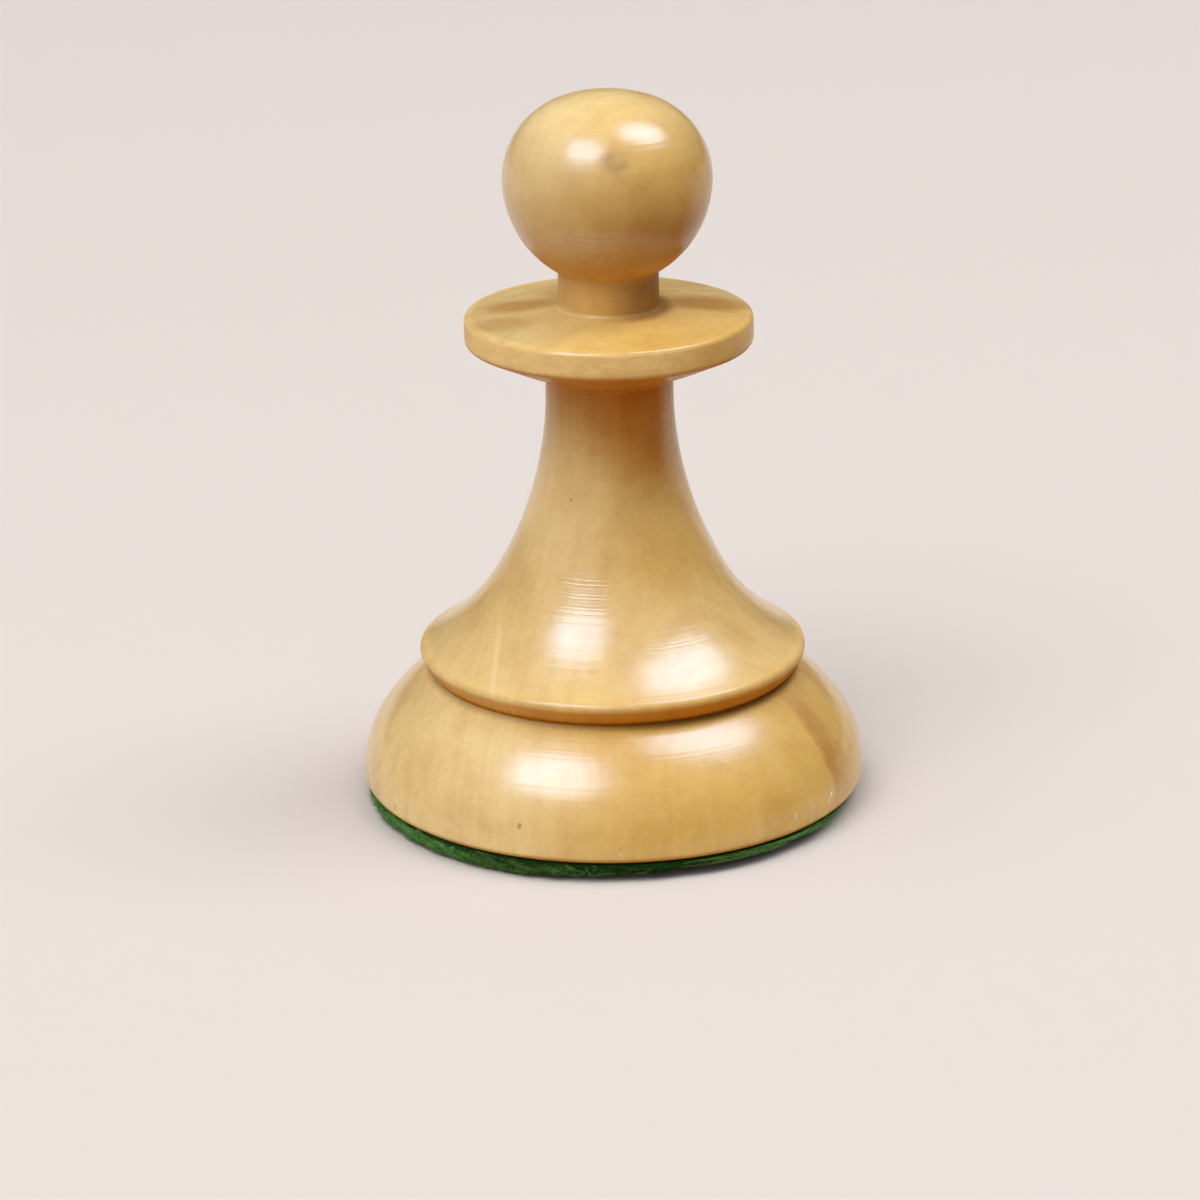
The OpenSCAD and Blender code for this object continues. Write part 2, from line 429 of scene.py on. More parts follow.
def arches(w, colour):
    """Rings that the flare cuts into arches, on its right."""
    total = 0.0
    for distance, width in ARCHES:
        off = w.math("ABSOLUTE", w.math("SUBTRACT", w.ring, distance))
        total = w.math("ADD", total, w.smoothstep(off, (width, ARCH_CORE)))
    reach = w.times(w.smoothstep(w.z, ARCH_FOOT), w.smoothstep(w.z, ARCH_TOP), w.smoothstep(w.x, ARCH_SIDE))
    return w.tint(colour, WOOD_BROWN, total, reach, 0.17)


def heart_streak(w, colour):
    """Brown streak of older wood, low on the right: a clear left edge, fading to the right."""
    wander = w.noise(w.p, 0.5)
    turn = w.math("DEGREES", w.math("ARCTAN2", w.x, w.times(w.y, -1.0)))
    turn = w.math("MULTIPLY_ADD", wander, HEART_WANDER_DEG, turn)
    past = w.math("SUBTRACT", turn, HEART_TURN_DEG + HEART_WANDER_DEG / 2)
    band = w.times(w.smoothstep(past, HEART_EDGE_DEG), w.smoothstep(past, HEART_FADE_DEG))
    reach = w.times(w.smoothstep(w.z, HEART_TOP), w.smoothstep(w.z, HEART_FOOT))
    grainy = w.noise(w.p, detail=3.0, stretch=(1.6, 1.6, 0.3))
    return w.tint(colour, WOOD_HEART, band, reach, w.smoothstep(grainy, (0.30, 0.65), (0.7, 1.0)), 0.56)


def pale_streak(w, colour):
    """Pale streak down the left of the flare."""
    off = w.math("ABSOLUTE", w.math("ADD", w.x, w.math("MULTIPLY_ADD", w.y, -STREAK_LEAN, -STREAK_X)))
    line = w.times(w.smoothstep(off, STREAK_WIDTH), w.smoothstep(w.y, STREAK_FRONT))
    reach = w.times(w.smoothstep(w.z, STREAK_FOOT), w.smoothstep(w.z, STREAK_TOP))
    return w.tint(colour, WOOD_CREAM, line, reach, 0.45)


def lathe_lines(w, colour):
    """Fine brown lines of turning, and pale scratches."""
    colour = w.tint(colour, WOOD_BROWN, w.smoothstep(w.lines, (0.38, 0.70)), 0.07)
    return w.tint(colour, WOOD_CREAM, w.smoothstep(w.scratch, (0.60, 0.74)), 0.22)


def head_painted_light_and_scuffs(w, colour):
    """Painted light makes the left of the head and the stem paler; under the head, painted shade browns the
    right, and real scuffs pale the left.
    """
    on_stem = w.times(w.smoothstep(w.z, LIT_STEM_FOOT), w.smoothstep(w.z, LIT_STEM_TOP))
    on_either = w.math("MAXIMUM", on_stem, w.smoothstep(w.z, LIT_HEAD_FOOT))
    colour = w.tint(colour, WOOD_CREAM, on_either, w.smoothstep(w.x, LIT_SIDE), 0.26)
    cheek = w.times(w.smoothstep(w.z, CHEEK_TOP), w.smoothstep(w.z, CHEEK_FOOT))
    colour = w.tint(colour, WOOD_BROWN, cheek, w.smoothstep(w.x, CHEEK_SHADE_SIDE), 0.44)
    scuffs = w.smoothstep(w.scratch, (0.40, 0.70), (0.05, 0.40))
    return w.tint(colour, WOOD_CREAM, scuffs, w.smoothstep(w.x, CHEEK_SCUFF_SIDE), cheek)


def neck_shade(w, colour):
    """The neck is darkest at its right."""
    height = w.times(w.smoothstep(w.z, NECK_FOOT), w.smoothstep(w.z, NECK_TOP))
    return w.tint(colour, NECK_DARK, height, w.smoothstep(w.radius, NECK_RADIUS),
                  w.smoothstep(w.x, NECK_SIDE), 0.62)


def collar_painted_shadow_and_light(w, colour):
    """Painted shadows of the head brown the collar's top beside the neck, and painted light makes its rim
    paler.
    """
    for *centre, size, strength in COLLAR_SHADOWS:
        colour = w.tint(colour, WOOD_BROWN, w.spot(centre, (size, 0.6 * size, 1.0)), strength)
    rim = w.times(w.smoothstep(w.radius, RIM_RADIUS), w.smoothstep(w.z, RIM_FOOT, (0.0, 0.9)),
                  w.smoothstep(w.up, RIM_UP))
    mottle = w.noise(w.p, detail=4.0, roughness=0.65, stretch=(0.9, 0.9, 2.2))
    return w.tint(colour, RIM_LIT, rim, w.smoothstep(w.x, RIM_SIDE, (1.0, 0.20)),
                  w.smoothstep(mottle, (0.34, 0.66), (0.62, 1.0)))


def painted_amber_shade(w, colour):
    """Painted shade: amber darkening in hollows that don't face up and on undersides, a painted shadow of the
    collar on the stem, and painted shade on the lip's face.
    """
    hollow = w.times(w.smoothstep(w.exposed, (0.95, 0.50)), w.smoothstep(w.up, (0.85, 0.35)),
                     w.less(w.smoothstep(w.z, NECK_THIN_FOOT), 0.7))
    underside = w.times(w.smoothstep(w.up, (0.0, -0.85), (0.0, 0.75)), w.lower)
    slanted = w.math("MULTIPLY_ADD", w.x, STEM_DARK_SLANT, w.z)
    stem = w.times(w.smoothstep(slanted, STEM_DARK_FOOT), w.smoothstep(w.radius, STEM_DARK_RADIUS), w.lower,
                   w.smoothstep(w.x, STEM_DARK_SIDE, (0.10, 0.62)),
                   w.smoothstep(w.x, STEM_EDGE_SIDE, (0.3, 1.0)))
    lip_face = w.times(w.lip, w.smoothstep(w.up, LIP_UP), w.smoothstep(w.x, LIP_SIDE, (0.05, 0.35)))
    depth = w.math("ADD", w.math("ADD", stem, lip_face), w.math("MAXIMUM", hollow, underside), clamp=True)
    return w.mix(depth, colour, w.mix(1.0, colour, WOOD_AMBER, blend="MULTIPLY"))


def groove_painted_shadow(w, colour):
    """Painted shadow fills the groove under the lip, most at the right."""
    off_groove = w.vector("DISTANCE", w.turned, GROOVE)
    return w.tint(colour, GROOVE_SHADOW_COLOUR, w.smoothstep(off_groove, GROOVE_WIDTH),
                  w.smoothstep(w.x, GROOVE_SIDE, (0.30, 0.75)))


def small_marks(w, colour):
    """Smudge on the brow, specks and chips."""
    ragged = w.noise(w.p, 1.6, detail=3.0)
    smeared = w.smoothstep(ragged, (0.25, 0.60), (0.45, 1.0))
    torn = w.smoothstep(ragged, (0.30, 0.50), (0.5, 1.0))
    for *centre, size, strength in SMUDGES:
        colour = w.tint(colour, SMUDGE_COLOUR, w.spot(centre, (size, size, 0.75 * size)), smeared, strength)
    for *centre, size in SPECKS:
        colour = w.tint(colour, SPECK_COLOUR, w.spot(centre, (size, size, 1.4 * size)), SPECK_STRENGTH)
    for *centre, size, strength in CHIPS:
        colour = w.tint(colour, CHIP_COLOUR, w.spot(centre, (size, size, 1.3 * size)), torn, strength)
    return colour


def lacquer_shine(w):
    """How much the lacquer shines: less in hollows, on flat tops, on the worn edge and on undersides."""
    flat = w.times(w.smoothstep(w.up, (0.985, 0.995)), w.smoothstep(w.z, FLAT_TOP))
    worn = w.times(w.smoothstep(w.radius, EDGE_RADIUS), w.smoothstep(w.z, EDGE_FOOT),
                   w.smoothstep(w.x, EDGE_SIDE, (0.45, 0.9)))
    underside = w.times(w.smoothstep(w.up, (0.0, -0.5)), w.lower)
    return w.times(w.smoothstep(w.exposed, (0.58, 0.90), (0.15, 1.0)), w.less(flat, 0.45), w.less(worn, 1.0),
                   w.less(w.math("MAXIMUM", underside, w.lip), 0.6))


def lathe_relief(w):
    """Normal of the lacquer: fine lines, ridges, and tool marks on the flare."""
    ridges = w.noise(w.turned, 3.0, detail=3.0, roughness=0.6)
    ridges = w.times(ridges, w.smoothstep(w.z, RIDGE_FOOT, (0.7, 1.1)))
    uneven = w.noise_1d(w.z, 1.6)
    wave = w.math("MULTIPLY_ADD", uneven, TOOL_MARK_JITTER, w.times(w.z, math.tau / TOOL_MARK_PITCH))
    depth = w.smoothstep(w.noise_1d(w.z, 1.3, detail=1.0), (0.36, 0.62), (0.35, 1.3))
    reach = w.times(w.smoothstep(w.z, TOOL_MARK_FOOT), w.smoothstep(w.z, TOOL_MARK_TOP))
    normal = w.bump(w.lines, LINE_DEPTH)
    normal = w.bump(ridges, RIDGE_DEPTH, normal=normal)
    return w.bump(w.times(w.math("SINE", wave), reach, depth), TOOL_MARK_DEPTH, normal=normal)


def boxwood():
    """Lacquered boxwood, with the marks of turning and wear on it."""
    w = Wood("boxwood_lacquered")
    colour = grain_colour(w)
    for marked in (arches, heart_streak, pale_streak, lathe_lines, head_painted_light_and_scuffs, neck_shade, collar_painted_shadow_and_light,
                   painted_amber_shade, groove_painted_shadow, small_marks):
        colour = marked(w, colour)
    return w.shade(Base_Color=colour, Roughness=w.smoothstep(w.lines, (0.3, 0.7), (0.46, 0.56)),
                   Normal=w.bump(w.lines, WOOD_LINE_DEPTH), Coat_Weight=lacquer_shine(w),
                   Coat_Normal=lathe_relief(w), Coat_Roughness=0.18, Coat_IOR=1.55, IOR=1.5,
                   Specular_IOR_Level=0.0)


# Other materials
def felt_cloth(name, dark, light, fibre_tones=False):
    """Wool felt: matted fibre with deep dark hollows; loose fibres can each have a tone of their own."""
    n = Nodes(name)
    p = n.place()
    x, y, z = n.split(p)
    mat = n.noise(p, detail=5.0, roughness=0.7, distortion=0.6, stretch=(1.5, 1.5, 3.0))
    clumps = n.noise(p, 0.35, detail=3.0)
    tone = n.math("ADD", n.times(mat, 0.7), n.times(clumps, 0.3))
    if fibre_tones:
        own = n.add("ShaderNodeNewGeometry").outputs["Random Per Island"]
        tone = n.math("ADD", n.times(tone, 0.6), n.math("MULTIPLY_ADD", own, 0.36, 0.02))
    colour = n.mix(n.smoothstep(tone, (0.36, 0.62)), dark, light)
    # Painted shade darkens the felt's front, and painted shadow darkens the low part of its right side under
    # the curl
    shaded = n.mix(1.0, colour, FELT_FRONT_SHADE, blend="MULTIPLY")
    colour = n.tint(colour, shaded, n.smoothstep(y, FELT_SHADE_FRONT), 0.8)
    colour = n.tint(colour, FELT_UNDER_SHADOW, n.smoothstep(z, FELT_UNDER_SHADOW_TOP), n.smoothstep(x, FELT_UNDER_SHADOW_SIDE), 0.95)
    return n.shade(Base_Color=colour, Roughness=0.95, Normal=n.bump(mat, 0.12 * MM), Sheen_Weight=0.1,
                   Sheen_Roughness=0.5, Sheen_Tint=FELT_SHEEN, Specular_IOR_Level=0.03)


def cast_iron():
    """Rough cast iron with a little rust."""
    n = Nodes("iron_cast")
    p = n.place()
    grain = n.noise(p, 2.2, detail=6.0, roughness=0.7)
    rust = n.noise(p, 0.3, detail=4.0, roughness=0.6)
    colour = n.mix(n.smoothstep(grain, (0.35, 0.65)), srgb(70, 70, 74), srgb(112, 111, 112))
    colour = n.tint(colour, srgb(116, 70, 42), n.smoothstep(rust, (0.56, 0.70)), 0.7)
    rough = n.smoothstep(grain, (0.3, 0.7), (0.5, 0.8))
    return n.shade(Base_Color=colour, Roughness=rough, Metallic=0.8, Normal=n.bump(grain, 0.08 * MM))


def plug_wood():
    """Plain unlacquered wood of the plug, with saw lines across it."""
    n = Nodes("plug_wood_plain")
    p = n.place()
    grain = n.noise(p, detail=5.0, roughness=0.6, stretch=(0.25, 2.6, 2.6))
    saw = n.noise(p, stretch=(3.0, 0.15, 3.0))
    colour = n.mix(n.smoothstep(grain, (0.3, 0.7)), srgb(205, 172, 120), srgb(164, 126, 78))
    colour = n.tint(colour, srgb(140, 104, 62), n.smoothstep(saw, (0.5, 0.7)), 0.3)
    return n.shade(Base_Color=colour, Roughness=0.7, Normal=n.bump(grain, 0.05 * MM))


def grey_card():
    """Soft grey-brown card with flecks of pulp."""
    n = Nodes("card_pulp")
    p = n.place()
    pulp = n.noise(p, detail=6.0, roughness=0.75, stretch=(2.0, 1.2, 2.0))
    fleck = n.noise(p, 3.5)
    colour = n.mix(n.smoothstep(pulp, (0.3, 0.7)), srgb(196, 182, 158), srgb(166, 150, 124))
    colour = n.mix(n.smoothstep(fleck, (0.68, 0.76)), colour, srgb(110, 92, 70))
    return n.shade(Base_Color=colour, Roughness=0.9, Normal=n.bump(pulp, 0.03 * MM))


# Turned body
def corners_of(node):
    """Every (radius, height) of a turned CAD node's vertices, once each, from low to high."""
    found = set()
    for vertex in frame["nodes"][node].data.vertices:
        found.add((round(math.hypot(vertex.co.x, vertex.co.y), 6), round(vertex.co.z, 6)))
    return sorted(found, key=lambda point: (point[1], point[0]))


def outline_and_bore():
    """Outer outline of the body from its foot to its crown, and the bore's corners from its mouth inwards."""
    points = corners_of("turned_body")
    bore_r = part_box("bore_plug")[1].x + BORE_MARGIN
    bore_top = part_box("weight_slug")[1].z + BORE_MARGIN
    foot_z = points[0][1]
    outer = [p for p in points if p[0] > bore_r or p[1] > bore_top]
    rim = max(p[0] for p in outer if p[1] == foot_z)
    outer = [p for p in outer if p[1] > foot_z or p[0] == rim]
    inner = [p for p in points if p not in outer and 0 < p[0] < bore_r]
    return np.array(outer), sorted(inner, key=lambda p: (p[1], -p[0]))


def smooth_run(points):
    """Cubic curve through points, sampled about every FINE_STEP."""
    if len(points) < 3:
        count = max(2, int(np.linalg.norm(points[-1] - points[0]) / FINE_STEP))
        return points[0] + np.linspace(0, 1, count)[:, None] * (points[-1] - points[0])
    gaps = np.linalg.norm(np.diff(points, axis=0), axis=1)
    slopes = np.diff(points, axis=0) / gaps[:, None]
    middle = (gaps[1:, None] * slopes[:-1] + gaps[:-1, None] * slopes[1:]) / (gaps[1:] + gaps[:-1])[:, None]
    tangents = np.vstack([2 * slopes[0] - middle[0], middle, 2 * slopes[-1] - middle[-1]])
    pieces = []
    for i, gap in enumerate(gaps):
        t = np.linspace(0, 1, max(2, int(gap / FINE_STEP)), endpoint=False)[:, None]
        pieces.append((2 * t**3 - 3 * t**2 + 1) * points[i] + (t**3 - 2 * t**2 + t) * gap * tangents[i]
                      + (3 * t**2 - 2 * t**3) * points[i + 1] + (t**3 - t**2) * gap * tangents[i + 1])
    return np.vstack(pieces + [points[-1:]])


def softened(points):
    """Even samples of a polyline with its corners rounded by EDGE_SOFTNESS."""
    along = np.concatenate([[0], np.cumsum(np.linalg.norm(np.diff(points, axis=0), axis=1))])
    count = int(along[-1] / FINE_STEP)
    even = np.linspace(0, along[-1], count)
    line = np.column_stack([np.interp(even, along, points[:, k]) for k in (0, 1)])
    reach = int(4 * EDGE_SOFTNESS / FINE_STEP) + 1
    kernel = np.exp(-0.5 * (np.arange(-reach, reach + 1) * FINE_STEP / EDGE_SOFTNESS) ** 2)
    kernel /= kernel.sum()
    padded = np.vstack([2 * line[0] - line[reach:0:-1], line, 2 * line[-1] - line[-2:-reach - 2:-1]])
    return np.column_stack([np.convolve(padded[:, k], kernel, mode="valid") for k in (0, 1)])


def ring_choice(line):
    """Few enough of the samples: one wherever the line has turned or run far enough."""
    way = np.diff(line, axis=0)
    heading = np.unwrap(np.arctan2(way[:, 1], way[:, 0]))
    kept = [0]
    for i in range(1, len(line) - 1):
        turned = abs(heading[i] - heading[kept[-1]])
        run = (i - kept[-1]) * FINE_STEP
        if turned > math.radians(RING_TURN_DEG) or run > RING_GAP:
            kept.append(i)
    return line[kept + [len(line) - 1]]


def body_profile():
    """Closed profile of the body: from the crown down the outside, then up the bore to its blind end."""
    outer, bore = outline_and_bore()
    way = np.diff(outer, axis=0)
    heading = np.unwrap(np.arctan2(way[:, 1], way[:, 0]))
    turns = np.degrees(np.abs(np.diff(heading)))
    cuts = [0] + [i + 1 for i, turn in enumerate(turns) if turn > CORNER_TURN_DEG] + [len(outer) - 1]
    runs = [smooth_run(outer[a:b + 1]) for a, b in zip(cuts[:-1], cuts[1:])]
    fine = softened(np.vstack([runs[0]] + [run[1:] for run in runs[1:]]))
    rings = ring_choice(fine)
    rings[-1] = (0.0, outer[-1][1])
    blind_end = (0.0, bore[-1][1])
    return [tuple(p) for p in rings[::-1]] + [tuple(p) for p in bore] + [blind_end]


def lathe(name, profile, around, material):
    """Closed solid turned from a profile whose two ends lie on the axis."""
    verts, faces, rows = [], [], []
    for radius, height in profile:
        first = len(verts)
        if radius < ON_AXIS:
            verts.append((0.0, 0.0, height))
            rows.append([first])
            continue
        for i in range(around):
            turn = math.tau * i / around
            verts.append((radius * math.sin(turn), -radius * math.cos(turn), height))
        rows.append(range(first, first + around))
    for upper, lower in zip(rows[:-1], rows[1:]):
        for i in range(around):
            j = (i + 1) % around
            if len(upper) == 1:
                faces.append((upper[0], lower[i], lower[j]))
            elif len(lower) == 1:
                faces.append((upper[i], lower[0], upper[j]))
            else:
                faces.append((upper[i], lower[i], lower[j], upper[j]))
    return new_object(name, verts, faces, material)


# Felt
def felt_edge(turn):
    """Radius of the pad's uneven edge in one direction, measured from the pawn's axis."""
    wave = sum(FELT_WAVE / (k + 1) * math.sin((k + 2) * turn + FELT_WAVE_PHASE * k * k)
               for k in range(FELT_WAVES))
    flat = FELT_FLAT * max(math.cos(turn - FELT_FLAT_TURN), 0.0) ** 3
    return FELT_R + FELT_SPREAD + FELT_SHIFT * math.cos(turn - FELT_SHIFT_TURN) - flat + wave


def felt_side(turn, level):
    """Share of the edge's radius at a level of the thickness: drawn in below, and curled up at the right."""
    curl = max(math.cos(turn - FELT_CURL_TURN), 0.0)
    widest = FELT_WIDEST + FELT_CURL_LIFT * curl
    if level > widest:
        return 1.0 - FELT_SHOULDER * (level - widest) ** 2
    return 1.0 - (FELT_UNDERCUT + FELT_CURL_UNDERCUT * curl) * (1.0 - level / widest) ** 2


def felt_point(turn, level, out):
    """Place on the pad's side, or off it by a distance outwards."""
    r = felt_edge(turn) * felt_side(turn, level) + out
    z = min(max(level * FELT_T, FELT_LIFT), FELT_T + FELT_TOP_ROOM)
    return Vector((r * math.sin(turn), -r * math.cos(turn), z))


def felt_rows(turns):
    """Rows of the pad, from below to above: shares of the edge's radius, level and looseness."""
    rows = [(np.full(FELT_AROUND, share), 0.0, 0.0) for share in FELT_UNDER_SHARES]
    for level in FELT_LEVELS:
        side = np.array([felt_side(turn, level) for turn in turns])
        rows.append((side, level, math.sin(math.pi * level / FELT_PUFF)))
    return rows + [(np.full(FELT_AROUND, share), level, 0.0) for share, level in FELT_OVER_ROWS]


def felt_tufts(count):
    """Smooth random unevenness for each row and direction."""
    tufts = np.random.default_rng(SEED).normal(0, 1, (count, FELT_AROUND))
    steps = range(-FELT_TUFT_REACH, FELT_TUFT_REACH + 1)
    tufts = sum(np.roll(tufts, k, axis=1) for k in steps) / len(steps) ** 0.5
    tufts[1:-1] = (tufts[:-2] + tufts[1:-1] + tufts[2:]) / 3 ** 0.5
    return tufts


def felt_disc(material):
    """Felt pad: flat above and below, with a rounded, tufted side that puffs up round the card."""
    turns = np.arange(FELT_AROUND) * math.tau / FELT_AROUND
    edges = np.array([felt_edge(turn) for turn in turns])
    rows = felt_rows(turns)
    verts, faces = [(0.0, 0.0, 0.0)], []
    for (shares, level, loose), tuft in zip(rows, felt_tufts(len(rows))):
        for r, turn in zip(edges * shares + tuft * loose * FELT_TUFT, turns):
            verts.append((r * math.sin(turn), -r * math.cos(turn), level * FELT_T))
    verts.append((0.0, 0.0, FELT_T))
    last = len(verts) - 1
    for i in range(FELT_AROUND):
        j = (i + 1) % FELT_AROUND
        faces.append((0, 1 + j, 1 + i))
        for row in range(len(rows) - 1):
            a, b = 1 + row * FELT_AROUND, 1 + (row + 1) * FELT_AROUND
            faces.append((a + i, a + j, b + j, b + i))
        faces.append((last - FELT_AROUND + i, last - FELT_AROUND + j, last))
    return new_object("felt_pad_cut", verts, faces, material)


def fibre_tube(path, thickness, verts, faces):
    """Adds a thin three-sided strand that tapers to its tip."""
    first = len(verts)
    count = len(path)
    for i, point in enumerate(path):
        way = (path[min(i + 1, count - 1)] - path[max(i - 1, 0)]).normalized()
        across = way.orthogonal().normalized()
        over = way.cross(across)
        half = thickness / 2 * (1.0 - FIBRE_TAPER * (i / (count - 1)) ** 2)
        for k in range(FIBRE_SIDES):
            turn = math.tau * k / FIBRE_SIDES
            verts.append(point + half * (math.cos(turn) * across + math.sin(turn) * over))
    for i in range(count - 1):
        a, b = first + FIBRE_SIDES * i, first + FIBRE_SIDES * (i + 1)
        for k in range(FIBRE_SIDES):
            m = (k + 1) % FIBRE_SIDES
            faces.append((a + k, a + m, b + m, b + k))
    faces.append((first + 2, first + 1, first))
    last = first + FIBRE_SIDES * (count - 1)
    faces.append((last, last + 1, last + 2))


def fibres(name, material, count, thickness, laid):
    """Loose fibres on the felt's edge, with thickness in mm; laid(rng) gives one fibre's start and run."""
    rng = random.Random(name)
    verts, faces = [], []
    for _ in range(count):
        f = laid(rng)
        path = []
        for i in range(FIBRE_STEPS + 1):
            s = i / FIBRE_STEPS
            weave = f["weave"] * math.sin(f["phase"] + FIBRE_WEAVE_TURN * s)
            level = f["level"] + f["rise"] * s + f["curl"] * s * s + weave
            out = f["start"] + f["out"] * s ** f["bend"] + f["bulge"] * math.sin(math.pi * s)
            path.append(felt_point(f["turn"] + f["along"] * s / FELT_R, level, out))
        fibre_tube(path, rng.uniform(*thickness) * MM, verts, faces)
    return new_object(name, verts, faces, material)


def matted(rng):
    """Fibre that lies along the edge."""
    return {"turn": rng.uniform(0, math.tau), "level": rng.uniform(0.04, 1.15),
            "start": rng.uniform(-0.05, 0.05) * MM, "along": rng.choice((-1, 1)) * rng.uniform(0.6, 2.8) * MM,
            "out": rng.uniform(-0.06, 0.10) * MM, "rise": rng.uniform(-0.35, 0.35), "curl": 0.0,
            "weave": rng.uniform(0.0, 0.08), "phase": rng.uniform(0, math.tau), "bend": 1.0, "bulge": 0.0}


def lock_of_wool(rng):
    """Tuft that lies aslant on the edge, most of them on the left and the front."""
    turn = rng.gauss(-64, 34) if rng.random() < 0.8 else rng.uniform(-180, 180)
    return {"turn": math.radians(turn), "level": rng.uniform(0.45, 1.1), "along": rng.uniform(0.9, 2.4) * MM,
            "rise": rng.uniform(-0.75, -0.15), "bulge": rng.uniform(0.10, 0.32) * MM}


LOCKS = [lock_of_wool(random.Random(SEED + i)) for i in range(FELT_LOCKS)]


def locked(rng):
    """Fibre of one of the tufts."""
    lock = rng.choice(LOCKS)
    return {"turn": lock["turn"] + rng.gauss(0, 0.16) * MM / FELT_R,
            "level": lock["level"] + rng.gauss(0, 0.10), "start": -0.04 * MM,
            "along": lock["along"] * rng.uniform(0.8, 1.15),
            "out": rng.uniform(0.0, 0.12) * MM, "rise": lock["rise"] + rng.gauss(0, 0.12), "curl": 0.0,
            "weave": rng.uniform(0.0, 0.06), "phase": rng.uniform(0, math.tau), "bend": 1.0,
            "bulge": lock["bulge"] * rng.uniform(0.5, 1.1)}


def fluffed(rng):
    """Short curled fibre that stands off the edge, most of them on the left."""
    turn = rng.gauss(math.radians(-62), math.radians(42)) if rng.random() < 0.6 else rng.uniform(0, math.tau)
    return {"turn": turn, "level": rng.uniform(0.15, 1.1), "start": -0.03 * MM,
            "along": rng.uniform(-0.6, 0.6) * MM, "out": rng.uniform(0.12, 0.65) * MM,
            "rise": rng.uniform(-0.5, 0.35), "curl": rng.uniform(-0.6, 0.2), "weave": rng.uniform(0.0, 0.12),
            "phase": rng.uniform(0, math.tau), "bend": rng.uniform(0.6, 1.4), "bulge": 0.0}


def combed(rng):
    """Long bright strand at the front right, brushed to the right and off the edge at its tip."""
    return {"turn": math.radians(rng.uniform(14, 52)), "level": rng.uniform(0.6, 1.15), "start": 0.03 * MM,
            "along": rng.uniform(1.8, 5.0) * MM, "out": rng.uniform(0.1, 0.65) * MM,
            "rise": rng.uniform(-0.10, 0.25), "curl": rng.uniform(-0.15, 0.15),
            "weave": rng.uniform(0.0, 0.05), "phase": rng.uniform(0, math.tau),
            "bend": rng.uniform(1.4, 2.4), "bulge": 0.0}


def strayed(rng):
    """Pale stray hair that hangs off the edge."""
    return {"turn": math.radians(rng.uniform(-80, 70)), "level": rng.uniform(0.3, 0.9), "start": 0.0,
            "along": rng.uniform(-1.4, 1.4) * MM, "out": rng.uniform(0.4, 0.9) * MM,
            "rise": rng.uniform(-0.9, 0.3), "curl": rng.uniform(-0.4, 0.5), "weave": rng.uniform(0.05, 0.2),
            "phase": rng.uniform(0, math.tau), "bend": 1.0, "bulge": 0.0}


# Pieces
wood = lathe("turned_body_wood", body_profile(), AROUND, boxwood())
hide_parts("turned_body")
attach(wood, "root")

felt = felt_disc(felt_cloth("felt_green", dark=srgb(12, 34, 6), light=srgb(34, 84, 24)))
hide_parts("felt_pad")
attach(felt, "root")

fibre_green = felt_cloth("felt_fibre_green", srgb(16, 40, 8), srgb(58, 108, 36), fibre_tones=True)
bright_green = felt_cloth("felt_fibre_bright", srgb(50, 104, 34), srgb(140, 196, 112), fibre_tones=True)
hair_pale = felt_cloth("felt_hair_pale", srgb(120, 140, 90), srgb(206, 212, 176), fibre_tones=True)
loose = [fibres("felt_matted", fibre_green, count=3600, thickness=(0.020, 0.040), laid=matted),
         fibres("felt_locks", bright_green, count=3000, thickness=(0.018, 0.034), laid=locked),
         fibres("felt_fluff", bright_green, count=2100, thickness=(0.022, 0.036), laid=fluffed),
         fibres("felt_combed", bright_green, count=170, thickness=(0.020, 0.036), laid=combed),
         fibres("felt_strays", hair_pale, count=26, thickness=(0.020, 0.030), laid=strayed)]
for piece in loose:
    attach(piece, "root")

for node, material in (("weight_slug", cast_iron()), ("bore_plug", plug_wood()), ("card_disc", grey_card())):
    mesh = frame["nodes"][node].data
    mesh.materials.clear()
    mesh.materials.append(material)


# Stage
def floor():
    """Plain pale floor; in front it returns less light than the camera sees, and far off it stays pale."""
    n = Nodes("floor_pale")
    path = n.add("ShaderNodeLightPath").outputs
    p = n.place()
    y = n.split(p)["Y"]
    distance = n.vector("LENGTH", p)
    near = n.smoothstep(distance, FLOOR_NEAR)
    bounce = n.mix(n.math("MAXIMUM", near, n.smoothstep(y, FLOOR_BEHIND)), FLOOR_BOUNCE, FLOOR_PALE)
    mirrored = n.math("MAXIMUM", path["Is Glossy Ray"], path["Is Transmission Ray"])
    mirrored = n.times(mirrored, n.math("MAXIMUM", near, n.smoothstep(y, FLOOR_MIRRORED)))
    colour = n.mix(n.math("MAXIMUM", path["Is Camera Ray"], mirrored), bounce, FLOOR_PALE)
    backdrop = n.times(path["Is Camera Ray"], n.smoothstep(distance, FLOOR_FADE))
    n.shade(Base_Color=n.mix(backdrop, colour, BLACK), Roughness=0.8, Specular_IOR_Level=0.0,
            Emission_Color=FLOOR_FAR, Emission_Strength=backdrop)
    corners = ((-1, -1), (1, -1), (1, 1), (-1, 1))
    verts = [(across * FLOOR_HALF, along * FLOOR_HALF, 0.0) for across, along in corners]
    plane = new_object("floor", verts, [(0, 1, 2, 3)], n.material, smooth=False)


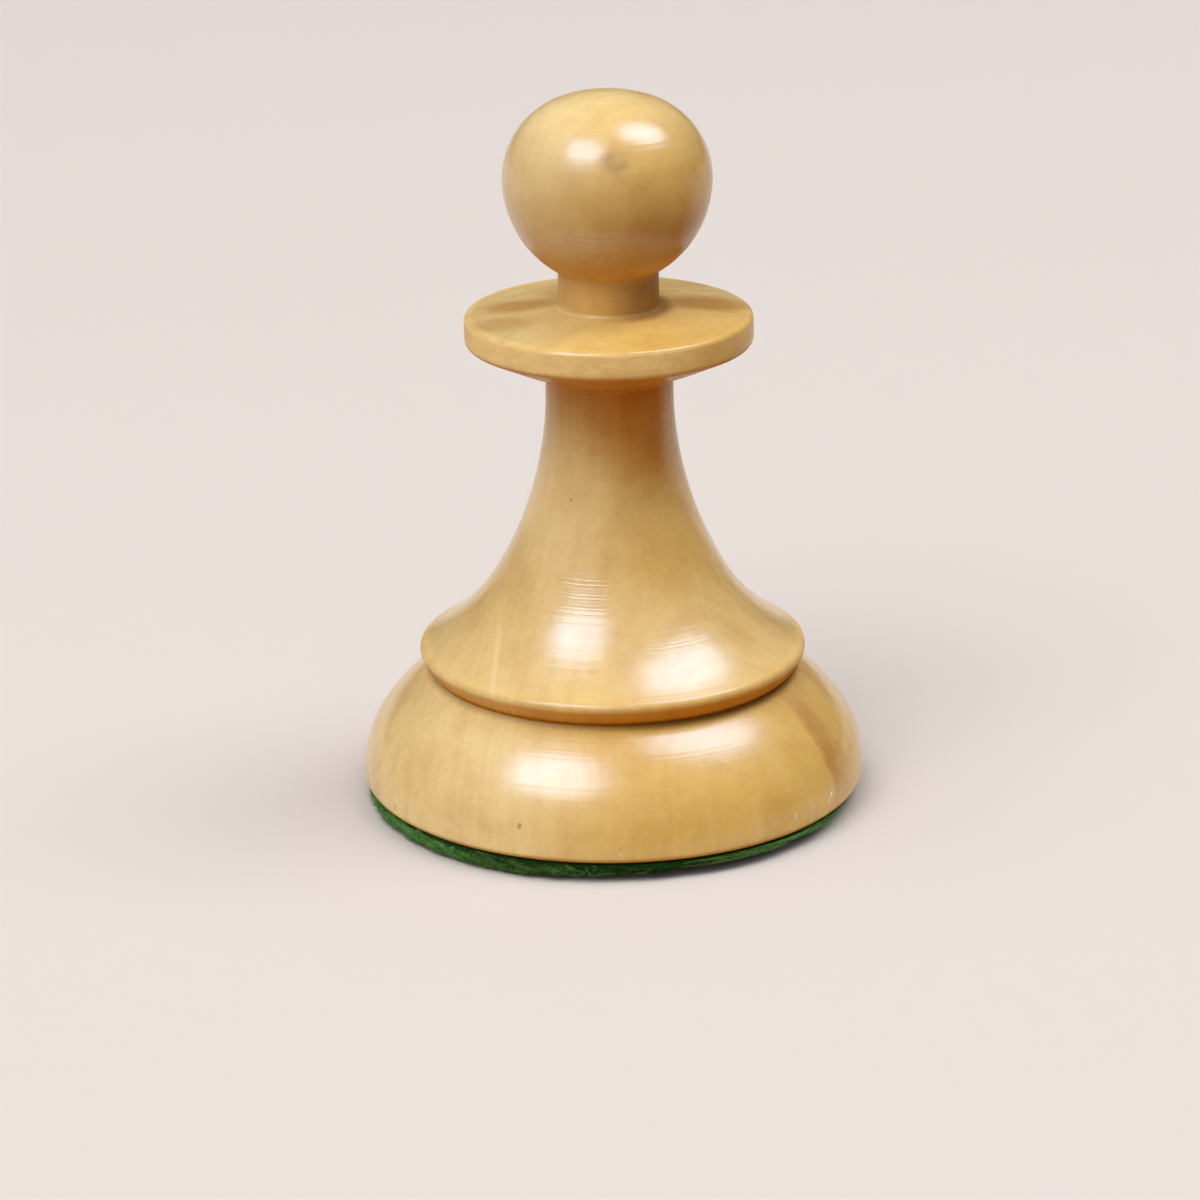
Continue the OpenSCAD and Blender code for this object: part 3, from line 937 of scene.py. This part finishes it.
def area_lamp(name, azimuth, elevation, size, power, roll=0.0, colour=LAMP_COLOUR):
    """Oval lamp aimed at the pawn's middle; azimuth 0 is over -Y, and 90 over +X; level at roll 0."""
    lamp = bpy.data.lights.new(name, "AREA")
    lamp.shape = "ELLIPSE"
    lamp.size, lamp.size_y = size
    lamp.energy = power
    lamp.color = colour
    a, e = math.radians(azimuth), math.radians(elevation)
    back = Vector((math.sin(a) * math.cos(e), -math.cos(a) * math.cos(e), math.sin(e)))
    level = Vector((0.0, 0.0, 1.0)).cross(back).normalized()
    obj = bpy.data.objects.new(name, lamp)
    obj.matrix_world = Matrix.Translation(LAMP_AIM + back * LAMP_DISTANCE) @ Matrix(
        (level, back.cross(level), back)).transposed().to_4x4() @ Matrix.Rotation(math.radians(roll), 4, "Z")
    bpy.context.scene.collection.objects.link(obj)
    return obj


def softbox(name, azimuth, elevation, size, power, shine, roll=0.0):
    """Lamp with some of its power in reflections alone, for bright highlights in soft light."""
    area_lamp(name, azimuth, elevation, size, power, roll)
    area_lamp(name + "_shine", azimuth, elevation, size, shine, roll, SHINE_COLOUR).visible_diffuse = False


def camera():
    """Camera at the photograph's place."""
    data = bpy.data.cameras.new("camera")
    data.sensor_width = SENSOR_MM
    data.lens = FOCAL_PX / PHOTO_PX * SENSOR_MM
    data.clip_start, data.clip_end = CAMERA_CLIP
    obj = bpy.data.objects.new("camera", data)
    obj.location = CAMERA_AT
    obj.rotation_euler = Euler([math.radians(t) for t in CAMERA_TURN_DEG], "XYZ")
    bpy.context.scene.collection.objects.link(obj)
    bpy.context.scene.camera = obj


def world():
    """Soft pale surroundings: dim round the horizon, brighter overhead and brightest at the front left."""
    sky = bpy.data.worlds.new("studio")
    sky.use_nodes = True
    tree = sky.node_tree

    def node(kind, **settings):
        made = tree.nodes.new(kind)
        for key, value in settings.items():
            setattr(made, key, value)
        return made

    way = node("ShaderNodeTexCoord").outputs["Generated"]
    split = node("ShaderNodeSeparateXYZ")
    overhead = node("ShaderNodeMapRange", interpolation_type="SMOOTHSTEP")
    overhead.inputs["To Min"].default_value = SKY_LOW
    overhead.inputs["To Max"].default_value = SKY_HIGH
    facing = node("ShaderNodeVectorMath", operation="DOT_PRODUCT")
    facing.inputs[1].default_value = SKY_FRONT_WAY
    ahead = node("ShaderNodeMath", operation="MAXIMUM")
    ahead.inputs[1].default_value = 0.0
    lobe = node("ShaderNodeMath", operation="POWER")
    lobe.inputs[1].default_value = SKY_FRONT_FALL
    strength = node("ShaderNodeMath", operation="MULTIPLY_ADD")
    strength.inputs[1].default_value = SKY_FRONT
    background = tree.nodes["Background"]
    background.inputs["Color"].default_value = SKY_COLOUR
    tree.links.new(way, split.inputs["Vector"])
    tree.links.new(split.outputs["Z"], overhead.inputs["Value"])
    tree.links.new(way, facing.inputs[0])
    tree.links.new(facing.outputs["Value"], ahead.inputs[0])
    tree.links.new(ahead.outputs[0], lobe.inputs[0])
    tree.links.new(lobe.outputs[0], strength.inputs[0])
    tree.links.new(overhead.outputs["Result"], strength.inputs[2])
    tree.links.new(strength.outputs[0], background.inputs["Strength"])
    bpy.context.scene.world = sky


floor()
softbox("softbox_left", azimuth=-38.5, elevation=54, size=(0.79, 0.66), power=5.9, shine=32.0)
softbox("softbox_right", azimuth=95, elevation=62.5, size=(0.60, 0.84), power=5.95, shine=33.0, roll=27)
area_lamp("softbox_side", azimuth=-100, elevation=62, size=(0.7, 0.6), power=0.9).visible_glossy = False
camera()
world()
bpy.context.scene.view_settings.view_transform = "Standard"
